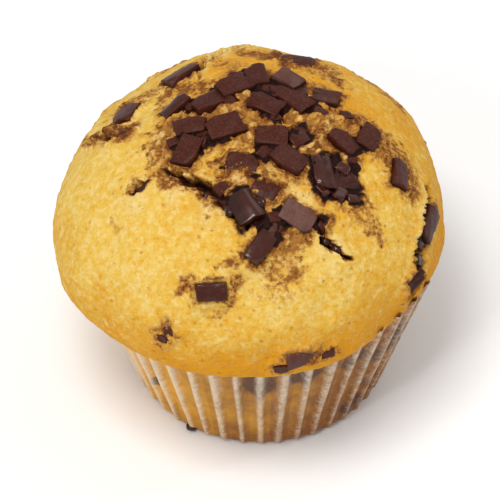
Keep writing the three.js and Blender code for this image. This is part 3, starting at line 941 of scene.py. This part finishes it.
def chunk_fields(points, chunks, ragged):
    """How the crust rises round and over each chunk, how strongly it stains the crumb, and
    where chocolate melted into the gaps, dark there partly as painted shade."""
    lift = np.zeros(len(points))
    near = np.zeros(len(points))
    gaps = np.zeros(len(points))
    pool = np.zeros(len(points))
    for chunk in chunks:
        place, axes = chunk_pose(chunk)
        offsets = points - place
        close = np.flatnonzero((offsets**2).sum(1) < (chunk.length / 2 + 5) ** 2)
        local = offsets[close] @ axes.T
        over = np.abs(local[:, :2]) - np.array([chunk.length, chunk.width]) / 2
        outside = np.linalg.norm(np.maximum(over, 0), axis=1) + np.minimum(over.max(1), 0)
        outside = outside + ragged[close, 0] * 0.8
        bank = (BANK_HEIGHT + 0.5 * ragged[close, 2]) * fall(outside - 0.3, BANK_WIDTH)
        climb = chunk.cover * smooth(0.4, -1.0, outside) * (CLIMB_HEIGHT + 1.6 * ragged[close, 1])
        lift[close] = np.maximum(lift[close], bank + np.maximum(climb, 0))
        away = np.maximum(outside, 0)
        stain = 0.7 * fall(away, STAIN_REACH) + 0.4 * fall(away, DARK_STAIN_REACH)
        near[close] = np.maximum(near[close], stain * np.interp(chunk.rise, *STAIN_AT_RISE))
        # The gaps between close chunks fill with melted chocolate, near black partly as painted shade
        gaps[close] += (chunk.rise > POOL_RISE) * fall(away, GAP_REACH)
        halo = (chunk.gloss >= HALO_GLOSS) * (0.9 + 1.2 * ragged[close, 1])
        pool[close] = np.maximum(pool[close], halo * fall(away, HALO_REACH))
    return lift, near, np.maximum(pool, 0.9 * smooth(1.1, 1.7, gaps + 0.3 * ragged[:, 2]))


def colour_setting(name, description, hex_code):
    """A colour that the sidebar offers, from its sRGB hex value."""
    return FloatVectorProperty(
        name=name, description=description, subtype="COLOR", size=3, default=linear_rgb(hex_code)
    )


def length_setting(name, description, default):
    """A length in metres that the sidebar offers."""
    return FloatProperty(
        name=name, description=description, subtype="DISTANCE", unit="LENGTH", default=default
    )


def power_setting(name, description, default):
    """A lamp's power in watts that the sidebar offers."""
    return FloatProperty(name=name, description=description, unit="POWER", default=default)


class MuffinCrustSettings(bpy.types.PropertyGroup):
    """Sizes and colours of the baked crust."""

    crown_cells: IntProperty(
        name="Crown cells", description="Cells along a side of the patch over the crown",
        default=156, min=20, max=170,
    )
    lip_rows: IntProperty(
        name="Rim rows", description="Rows of cells from the crown's patch down to the paper",
        default=100, min=10, max=120,
    )
    plug_rows: IntProperty(
        name="Plug rows", description="Rows of cells inside the case", default=5, min=1, max=20
    )
    swell: length_setting("Swell", "Height of the crust's broad unevenness", 0.45 * MM)
    crumb_relief: length_setting("Crumb relief", "Height of the torn crumb's relief", 0.85 * MM)
    grain_depth: length_setting("Grain depth", "Depth of the crust's finest grain", 0.24 * MM)
    gold: colour_setting("Gold", "Crust on the crown", "#E1B84F")
    amber: colour_setting("Amber", "Crust that browned, at the rim", "#D08C26")
    yolk: colour_setting("Yolk", "Spots rich in yolk", "#D9970E")
    toast: colour_setting("Toast", "Pinpoints that toasted dark", "#AC6A1F")
    crumb: colour_setting("Crumb", "Pale crumb where the crust tore", "#E9CF88")
    tint: colour_setting("Tint", "Crumb with a little chocolate in it", "#BC873C")
    # Painted shade in the hollows of the loose crumb, and pale crumb with painted light on its raised
    # grains
    bronze_shade: colour_setting("Bronze", "Hollows of the loose crumb", "#6C3A15")
    lit_knob: colour_setting("Knob", "Pale grains of the loose crumb", "#E4C37E")
    haze: colour_setting("Haze", "Crumb streaked with chocolate", "#844B1E")
    streak: colour_setting("Streak", "Flecks of chocolate in the crust", "#512811")
    # Melted is partly painted shade in the cracks and the gaps between chunks
    melted: colour_setting("Melted", "Chocolate soaked into a crack", "#200B05")


class MuffinChocolateSettings(bpy.types.PropertyGroup):
    """Sizes and colours of the chocolate chunks."""

    cells: IntProperty(
        name="Cells", description="Cells along each side of a chunk", default=14, min=4, max=16
    )
    edge: length_setting("Edge", "Radius of a dry chunk's edges", 0.2 * MM)
    wear: length_setting("Wear", "How far its surface melted out of true", 0.12 * MM)
    dull_roughness: FloatProperty(
        name="Dull roughness", description="Roughness of a chunk that stayed dry",
        default=0.46, min=0.0, max=1.0,
    )
    gloss_roughness: FloatProperty(
        name="Gloss roughness", description="Roughness of a chunk that melted and set",
        default=0.26, min=0.0, max=1.0,
    )
    dark: colour_setting("Dark", "Chocolate", "#3E170C")
    # Side is painted shade on a chunk's cut sides, and the dust on its tops carries painted light
    side: colour_setting("Side", "Cut sides of a chunk", "#260E08")
    dust_and_light: colour_setting("Dusted", "Dust on chocolate that stayed dry", "#5C3024")
    bloomed: colour_setting("Bloomed", "Chocolate that set grey", "#674840")
    crumbed: colour_setting("Crumbed", "Crumbs that stuck to a chunk", "#A87A45")


class MuffinPaperSettings(bpy.types.PropertyGroup):
    """Sizes and colours of the paper case."""

    pleat_points: IntProperty(
        name="Points a pleat", description="Vertices across one pleat", default=18, min=6, max=24
    )
    rows: IntProperty(
        name="Rows", description="Rows of cells up the wall", default=30, min=6, max=60
    )
    thickness: length_setting("Thickness", "Paper with its coating, drawn a little thick", 0.14 * MM)
    unevenness: length_setting("Unevenness", "How far the pleats stray sideways", 0.3 * MM)
    ochre: colour_setting("Ochre", "Paper against golden crust", "#EDB03A")
    # Brown also carries the painted shade on the side of the case away from the lamps
    brown: colour_setting("Brown", "Paper against browned crust", "#86501F")
    crest: colour_setting("Crest", "Paper that stands clear of the cake", "#E4D6C0")
    stained: colour_setting("Stained", "Paper against chocolate", "#53342A")


class MuffinStageSettings(bpy.types.PropertyGroup):
    """The camera, the lamps and the table top."""

    elevation: FloatProperty(
        name="Elevation", description="How steeply the camera looks down",
        default=math.radians(48), subtype="ANGLE", unit="ROTATION",
    )
    distance: length_setting("Distance", "From the camera to the muffin", 0.8)
    field: length_setting("Field", "Width of the view at the muffin", 0.098)
    key_power: power_setting("Key lamp", "Softbox overhead", 2.85)
    strip_power: power_setting("Strip lamp", "Small lamp in front", 0.9)
    side_power: power_setting("Side lamp", "Small lamp at the right", 0.45)
    fill_power: power_setting("Fill lamp", "Softbox behind", 0.4)
    sky: FloatProperty(name="Sky", description="Strength of the even light", default=0.56)
    table: colour_setting("Table", "Pale table top", "#F8F8F8")


def browning_field(ways, rises):
    """How much the crust browned: at the rim and the crown, and more on some sides."""
    bearings = np.degrees(np.arctan2(ways[:, 1], ways[:, 0]))
    to_right, to_back, to_front = (
        np.cos(np.radians(bearings - middle)) for middle in BROWNED_BEARINGS
    )
    browning = smooth(30, -10, rises) * (0.40 + 0.08 * to_right) + 0.09 + 0.08 * to_right
    browning += 0.26 * smooth(30, 60, rises) + 0.34 * smooth(-0.3, 0.9, to_back)
    browning += smooth(18, -10, rises) * (0.10 + 0.44 * smooth(0.2, 0.9, to_front))
    return browning


class MUFFIN_OT_bake_cake(bpy.types.Operator):
    """Makes the cake with its cracked crust over a plug that fills the case"""

    bl_idname = "muffin.bake_cake"
    bl_label = "Bake Cake"

    def execute(self, context):
        crust = context.scene.muffin_crust
        ways, plug, faces = crust_mesh(crust)
        points = crust_point(ways)
        ragged = [rough(points, RAGGED_SIZE, 4, shift) for shift in (3.1, 17.7, 41.3)]
        ragged = np.stack([*ragged, rough(points, FINE_RAGGED_SIZE, 2, 77.0)], -1)
        depth, edge, melt = crack_fields(points, ragged)
        lift, near, pool = chunk_fields(points, CHUNKS + SHARDS, ragged)
        melt = np.maximum(melt, pool)
        torn = np.maximum(strongest(ways, TORN), 0.9 * edge) * (1 + 0.8 * ragged[:, 1])
        torn = np.clip(torn, 0, 1)
        # Among the chunks the crumb is loose, in lumps with painted shade in the hollows between them
        crowded = smooth(0.25, 0.85, strongest(ways, CROWDS) + 0.3 * ragged[:, 0])
        lumps = rough(points, LUMP_SIZE, 3, 61.0)
        cells = pores(points, GRAIN_SPACING, 13.0)
        loose = np.maximum(crowded, 0.25 * torn)
        hollow = loose * (smooth(0.34, 0.66, cells) + 0.6 * smooth(0.10, -0.30, lumps))
        streaks = np.maximum(streak_field(points, ragged), near)
        # Deep cracks take the streaks' brown, partly as painted shade in them
        streaks = np.maximum.reduce([streaks, 0.36 * crowded, 0.85 * smooth(0, 0.9, depth)])
        swirls = swirl_places(points, ragged)
        pits = smooth(0.26, 0.05, pores(points, PIT_SPACING, 5.0))
        # The relief fades where the lip closes over the paper
        free = smooth(RELIEF_ENDS, RELIEF_FULL, row_shares(crust, len(ways)))
        relief = crust.swell / MM * rough(points, SWELL_SIZE, 2, 7.7) + raised(ways, DIMPLES)
        relief += BUMP_HEIGHT * rough(points, BUMP_SIZE, 3, 23.0) + FINE_HEIGHT * ragged[:, 3]
        relief += LUMP_HEIGHT * crowded * lumps + MELT_HEIGHT * melt * ragged[:, 3]
        drawn = np.clip(streaks + 0.5 * torn, 0, 1)
        relief += STREAK_HEIGHT * drawn * rough(swirls, 1.0, 3, 11.0)
        crumb_height = (PLAIN_CRUMB_SHARE + TORN_CRUMB_SHARE * torn) * crust.crumb_relief / MM
        relief += crumb_height * rough(points, CRUMB_SIZE, 3, 31.0)
        grain_height = PLAIN_GRAIN_HEIGHT + LOOSE_GRAIN_HEIGHT * np.maximum(0.6 * torn, crowded)
        relief += grain_height * smooth(0.66, 0.12, cells)
        relief -= pits * (PLAIN_PIT_DEPTH + TORN_PIT_DEPTH * torn)
        relief += CRACK_EDGE_HEIGHT * edge + lift * free - depth
        points = points + ways * (relief * free)[:, None]
        rises = np.degrees(np.arcsin(ways[:, 2]))
        fields = {
            "browning": browning_field(ways, rises),
            "torn": torn,
            "loose": loose,
            "hollow": np.clip(hollow, 0, 1),
            "streaks": streaks,
            "melt": melt,
            "pits": pits,
            "swirl": swirls,
        }
        # The plug under the crust has none of them
        for name, values in fields.items():
            below = np.zeros((len(plug), *values.shape[1:]))
            fields[name] = np.concatenate([values, below])
        everything = np.concatenate([points, plug])
        cake = new_piece("baked_cake", everything, faces, baked_crust(), fields)
        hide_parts("cake")
        return {"FINISHED"}


def row_shares(crust, count):
    """How far down the rim each vertex of the crust lies, from 0 on the crown to 1 at the paper."""
    border = 4 * crust.crown_cells
    rows = np.repeat(np.arange(1, crust.lip_rows + 1), border) / crust.lip_rows
    return np.concatenate([np.zeros(count - len(rows)), rows])


def cube_grid(cells):
    """Points from -1 to 1 and faces of a cube with cells along each side."""
    grid = bmesh.new()
    bmesh.ops.create_cube(grid, size=2)
    bmesh.ops.subdivide_edges(grid, edges=grid.edges[:], cuts=cells - 1, use_grid_fill=True)
    grid.verts.ensure_lookup_table()
    points = np.array([vert.co for vert in grid.verts])
    faces = [[vert.index for vert in face.verts] for face in grid.faces]
    grid.free()
    return points, faces


def chunk_points(chunk, cube, chocolate, draws):
    """The points of one chunk, before it is laid in the crust, with its underside at height 0."""
    half = np.array([chunk.length, chunk.width, CHUNK_THICKNESS]) / 2
    edge = chocolate.edge / MM * (1 + 0.7 * chunk.gloss)
    inner = half - edge
    # Half of the cells crowd into the rounded edges
    share = np.abs(cube)
    reach = np.minimum(share / 0.5, 1) * inner + np.maximum(share - 0.5, 0) / 0.5 * edge
    box = np.sign(cube) * reach
    core = np.clip(box, -inner, inner)
    points = core + edge * unit(box - core)
    x, y, z = (points / half).T
    points[:, 2] -= CUTS[chunk.cut](x, y) * (z + 1) / 2 * half[2]
    # The knife left no two corners alike
    x, y, z = (points / half).T
    for corner in np.ndindex(2, 2, 2):
        signs = 2 * np.array(corner) - 1
        weight = (1 + signs[0] * x) * (1 + signs[1] * y) * (1 + signs[2] * z) / 8
        stray = np.array([next(draws) - CORNERS_INWARD for _ in range(3)]) * signs
        points += weight[:, None] * stray * half * CORNER_STRAY
    # It doesn't lie quite level in the crust
    for side in (0, 1):
        points[:, 2] += points[:, side] * CHUNK_TILT * (next(draws) - 0.5)
    # Corners that broke off flat
    for _ in range(BROKEN_CORNERS):
        lean = np.array([next(draws) - 0.5 for _ in range(3)])
        normal = unit(np.sign(lean) * [0.7, 0.9, 0.8] + lean)
        normal[2] = abs(normal[2])
        limit = (np.abs(normal) * half).sum() * (0.72 + 0.18 * next(draws))
        points -= np.maximum(points @ normal - limit, 0)[:, None] * normal
    drift = 50 * next(draws)
    wear = chocolate.wear / MM * (1 + chunk.gloss)
    worn = wear * rough(points, COARSE_WEAR_SIZE, 2, drift)
    wear = chocolate.wear / MM * (1 - 0.7 * chunk.gloss)
    worn += wear * rough(points, FINE_WEAR_SIZE, 2, drift)
    points += unit(points) * worn[:, None]
    return points + np.array([0, 0, half[2]])


class MUFFIN_OT_set_chunks(bpy.types.Operator):
    """Lays the chocolate chunks in the crust"""

    bl_idname = "muffin.set_chunks"
    bl_label = "Set Chunks"

    def execute(self, context):
        settings = context.scene.muffin_chocolate
        cube, faces = cube_grid(settings.cells)
        draws = seeded(LOOKS_SEED + 1)
        points, all_faces = [], []
        fields = {"gloss": [], "bloom": [], "crumbs": [], "top": []}
        for chunk in CHUNKS + SHARDS:
            place, axes = chunk_pose(chunk)
            local = chunk_points(chunk, cube, settings, draws)
            start = len(points) * len(cube)
            all_faces += [[start + corner for corner in face] for face in faces]
            points.append(local @ axes + place)
            low = smooth(1.3, 0.2, local[:, 2] - chunk.sink)
            fields["gloss"].append(np.full(len(cube), chunk.gloss))
            fields["bloom"].append(np.full(len(cube), chunk.bloom))
            fields["crumbs"].append(np.clip(0.45 * chunk.cover + 0.30 * low, 0, 1))
            # The tops take dust and painted light, and the rest of each chunk painted shade
            fields["top"].append(smooth(0.55, 0.95, local[:, 2] / CHUNK_THICKNESS))
        fields = {name: np.concatenate(values) for name, values in fields.items()}
        material = dark_chocolate()
        new_piece("chocolate_chunks", np.concatenate(points), all_faces, material, fields)
        return {"FINISHED"}


class MUFFIN_OT_melt_chocolate(bpy.types.Operator):
    """Sets the lumps of melted chocolate in the cracks and beside the chunks"""

    bl_idname = "muffin.melt_chocolate"
    bl_label = "Melt Chocolate"

    def execute(self, context):
        cube, faces = cube_grid(8)
        ball = unit(cube)
        points, all_faces = [], []
        for bearing, rise, radius, height in MELTS:
            way = direction(bearing, rise)
            normal = crust_normal(way)
            flat = ball - MELT_FLATNESS * normal * (ball @ normal)[:, None]
            place = crust_point(way) + normal * (height - radius * 0.2)
            points.append(flat * radius + place)
        bearing, height, radius = FOOT_CRUMB
        place = on_circle(math.radians(bearing), crest_radius(height) - 0.4 * radius, height)
        points.append(ball * radius * [1.1, 1.0, 0.9] + place)
        for lump in range(len(points)):
            all_faces += [[lump * len(ball) + corner for corner in face] for face in faces]
        points, all_faces = fused(np.concatenate(points), all_faces, MELT_CELL)
        uneven = MELT_UNEVENNESS * rough(points, MELT_UNEVENNESS_SIZE, 2, 9.0)
        points = points + unit(points - TOP_OFFSET) * uneven[:, None]
        # Nothing of the crumb at the foot sinks into the table
        points[:, 2] = np.maximum(points[:, 2], 0.02)
        looks = {"gloss": 0.9, "bloom": 0.0, "crumbs": 0.10, "top": 0.4}
        fields = {name: np.full(len(points), value) for name, value in looks.items()}
        material = bpy.data.materials["couverture_chocolate"]
        new_piece("melted_chocolate", points, all_faces, material, fields)
        return {"FINISHED"}


def fused(points, faces, cell):
    """Overlapping closed lumps as one skin, with cells of that size in millimetres."""
    mesh = bpy.data.meshes.new("lumps")
    mesh.from_pydata(points.tolist(), [], faces)
    lumps = bpy.data.objects.new("lumps", mesh)
    bpy.context.scene.collection.objects.link(lumps)
    remesh = lumps.modifiers.new("fuse", "REMESH")
    remesh.mode = "VOXEL"
    remesh.voxel_size = cell
    smoothing = lumps.modifiers.new("smooth", "SMOOTH")
    smoothing.iterations = MELT_SMOOTHING
    lumps.modifiers.update()
    skin = lumps.evaluated_get(bpy.context.evaluated_depsgraph_get()).to_mesh()
    places = np.array([vert.co for vert in skin.vertices])
    corners = [list(face.vertices) for face in skin.polygons]
    lumps.to_mesh_clear()
    bpy.data.objects.remove(lumps)
    bpy.data.meshes.remove(mesh)
    return places, corners


class MUFFIN_OT_fold_case(bpy.types.Operator):
    """Folds the pleated paper case round the cake"""

    bl_idname = "muffin.fold_case"
    bl_label = "Fold Case"

    def execute(self, context):
        paper = context.scene.muffin_paper
        thickness = paper.thickness / MM
        columns = PLEATS * paper.pleat_points
        phase = np.arange(columns) / paper.pleat_points
        draws = seeded(LOOKS_SEED + 2)
        jitter = np.array([[next(draws) - 0.5 for _ in range(3)] for _ in range(PLEATS)])
        pleat = np.floor(phase + 0.5).astype(int) % PLEATS
        stray, fat, deep = jitter[pleat].T
        across = phase - np.round(phase)
        around = 2 * np.pi * phase / PLEATS
        half = CREST_HALF * (1 + 0.35 * fat)
        folded = smooth(0.25 * half, 1.45 * half, np.abs(across))
        bow = 0.12 * np.cos(np.pi * np.clip((np.abs(across) - 0.5) / 0.35, -0.5, 0.5))
        inward = np.clip((folded - bow * folded) * (1 + 0.3 * deep), 0, 1.06)
        top = junction_height(around, lambda h: crest_radius(h) - pleat_depth(h) * inward)
        edge = top + PAPER_LAP
        rows, layers = [], {"crest": [], "stain": [], "fat": [], "shaded": []}
        wander = paper.unevenness / MM
        for row in range(paper.rows + 1):
            share = row / paper.rows
            height = edge * share
            # The wall turns in to the foot over a small round, and the crests most
            round_in = smooth(FOOT_TURN, 0, height) ** 2
            depth = pleat_depth(height) * (0.5 + 0.5 * smooth(0, 8, height))
            radius = crest_radius(height) - depth * inward - round_in * (0.7 + 0.25 * (1 - folded))
            lean = wander * (2.2 * stray * (share - 0.3) + 0.6 * np.sin(3.5 * share + 9 * fat))
            angle = around + lean * folded_sway(across) / radius
            rows.append(on_circle(angle, radius, height))
            # Painted light: the paper is lighter and its crests whiter on the side towards the lamps,
            # and the far side gets painted shade. The crests are also less white towards the foot.
            in_light = 0.5 - 0.5 * np.cos(angle + 0.3)
            clear = (0.50 + 0.50 * in_light) * (0.70 + 0.30 * share)
            flank = half * (1.3 + 0.8 * share)
            layers["crest"].append(clear * (1 - smooth(0.25 * half, flank, np.abs(across))))
            layers["fat"].append(np.full(columns, 0.08) + 0.5 * fat * fat + 0.25 * smooth(10, 0, height))
            layers["stain"].append(paper_stain(angle, height))
            layers["shaded"].append(1 - in_light)
        ripple = [RIPPLE_HEIGHT * rough(points, RIPPLE_SIZE, 2, 3.0) for points in rows]
        rows = [points + unit(points * [1, 1, 0]) * r[:, None] for points, r in zip(rows, ripple)]
        inner = [points - unit(points * [1, 1, 0]) * thickness for points in rows[::-1]]
        inner[-1] = inner[-1] + np.array([0, 0, thickness])
        foot = [rows[0] * [share, share, 1] for share in FOOT_RINGS]
        rings = foot + rows + inner
        points = np.concatenate([*rings, [[0, 0, 0], [0, 0, thickness]]])
        faces = []
        for lower, _ in enumerate(rings[:-1]):
            start = lower * columns + np.arange(columns)
            faces += ring_faces(start + columns, start).tolist()
        last = (len(rings) - 1) * columns + np.arange(columns)
        middle = len(rings) * columns
        first = np.arange(columns)
        faces += np.stack([first, np.full(columns, middle), np.roll(first, -1)], -1).tolist()
        faces += np.stack([np.roll(last, -1), np.full(columns, middle + 1), last], -1).tolist()
        fields = {}
        for name, values in layers.items():
            everything = [values[0]] * len(foot) + values + values[::-1]
            fields[name] = np.append(np.concatenate(everything), [0, 0])
        case = new_piece("pleated_paper_case", points, faces, baking_paper(), fields)
        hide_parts("paper_case")
        return {"FINISHED"}


def folded_sway(across):
    """The crests stray sideways and the middle of each panel stays."""
    return np.cos(np.pi * across) ** 2


def paper_stain(angle, height):
    """How much chocolate lies behind the paper at angles and heights."""
    stain = np.zeros(angle.shape)
    for bearing, middle, half_width, half_height, strength in PAPER_STAINS:
        aside = np.angle(np.exp(1j * (angle - np.radians(bearing)))) * crest_radius(height)
        away = (aside / half_width) ** 2 + ((height - middle) / half_height) ** 2
        stain = np.maximum(stain, strength * np.exp(-away))
    return stain


class MUFFIN_OT_set_stage(bpy.types.Operator):
    """Sets the table top, the lamps, the even light and the camera"""

    bl_idname = "muffin.set_stage"
    bl_label = "Set Stage"

    def execute(self, context):
        stage = context.scene.muffin_stage
        bpy.ops.mesh.primitive_plane_add(size=6)
        table = context.active_object
        table.name = "table_top"
        table.data.materials.append(painted_board())
        for name, power, size, place in LAMPS:
            add_lamp(name, getattr(stage, power), size, place)
        world = bpy.data.worlds.new("even_light")
        world.use_nodes = True
        sky = world.node_tree.nodes["Background"]
        fill_inputs(world.node_tree, sky, Strength=stage.sky, Color=(1, 0.99, 0.97, 1))
        context.scene.world = world
        context.scene.view_settings.view_transform = "Standard"
        camera = bpy.data.cameras.new("camera")
        camera.sensor_width = 36
        camera.lens = camera.sensor_width * stage.distance / stage.field
        camera.clip_end = 20
        eye = bpy.data.objects.new("camera", camera)
        target = Vector((TOP_OFFSET[0] * MM, 0, 30 * MM))
        back = Vector((0, -math.cos(stage.elevation), math.sin(stage.elevation)))
        eye.location = target + back * stage.distance
        eye.rotation_euler = Euler((math.pi / 2 - stage.elevation, 0, 0))
        context.scene.collection.objects.link(eye)
        context.scene.camera = eye
        return {"FINISHED"}


def add_lamp(name, power, size, place):
    """A square softbox that faces the muffin."""
    lamp = bpy.data.lights.new(name, "AREA")
    lamp.energy = power
    lamp.size = size
    holder = bpy.data.objects.new(name, lamp)
    holder.location = place
    aim = Vector((0, 0, RING_HEIGHT * MM)) - Vector(place)
    holder.rotation_euler = aim.to_track_quat("-Z", "Y").to_euler()
    bpy.context.scene.collection.objects.link(holder)


class MUFFIN_PT_parts(bpy.types.Panel):
    """Lists the muffin's pieces and their settings"""

    bl_label = "Muffin"
    bl_idname = "MUFFIN_PT_parts"
    bl_space_type = "VIEW_3D"
    bl_region_type = "UI"
    bl_category = "Muffin"

    def draw(self, context):
        for operator in OPERATORS:
            self.layout.operator(operator.bl_idname)
        for name in SETTINGS:
            group = getattr(context.scene, name)
            box = self.layout.box()
            box.label(text=group.bl_rna.description)
            for field in group.__annotations__:
                box.prop(group, field)


OPERATORS = (
    MUFFIN_OT_bake_cake,
    MUFFIN_OT_set_chunks,
    MUFFIN_OT_melt_chocolate,
    MUFFIN_OT_fold_case,
    MUFFIN_OT_set_stage,
)
SETTINGS = {
    "muffin_crust": MuffinCrustSettings,
    "muffin_chocolate": MuffinChocolateSettings,
    "muffin_paper": MuffinPaperSettings,
    "muffin_stage": MuffinStageSettings,
}


def register():
    for name, group in SETTINGS.items():
        bpy.utils.register_class(group)
        setattr(bpy.types.Scene, name, PointerProperty(type=group))
    for item in (*OPERATORS, MUFFIN_PT_parts):
        bpy.utils.register_class(item)


def unregister():
    for item in (MUFFIN_PT_parts, *reversed(OPERATORS)):
        bpy.utils.unregister_class(item)
    for name, group in SETTINGS.items():
        delattr(bpy.types.Scene, name)
        bpy.utils.unregister_class(group)


def main():
    register()
    bpy.ops.muffin.bake_cake()
    bpy.ops.muffin.set_chunks()
    bpy.ops.muffin.melt_chocolate()
    bpy.ops.muffin.fold_case()
    bpy.ops.muffin.set_stage()


if __name__ == "__main__":
    main()
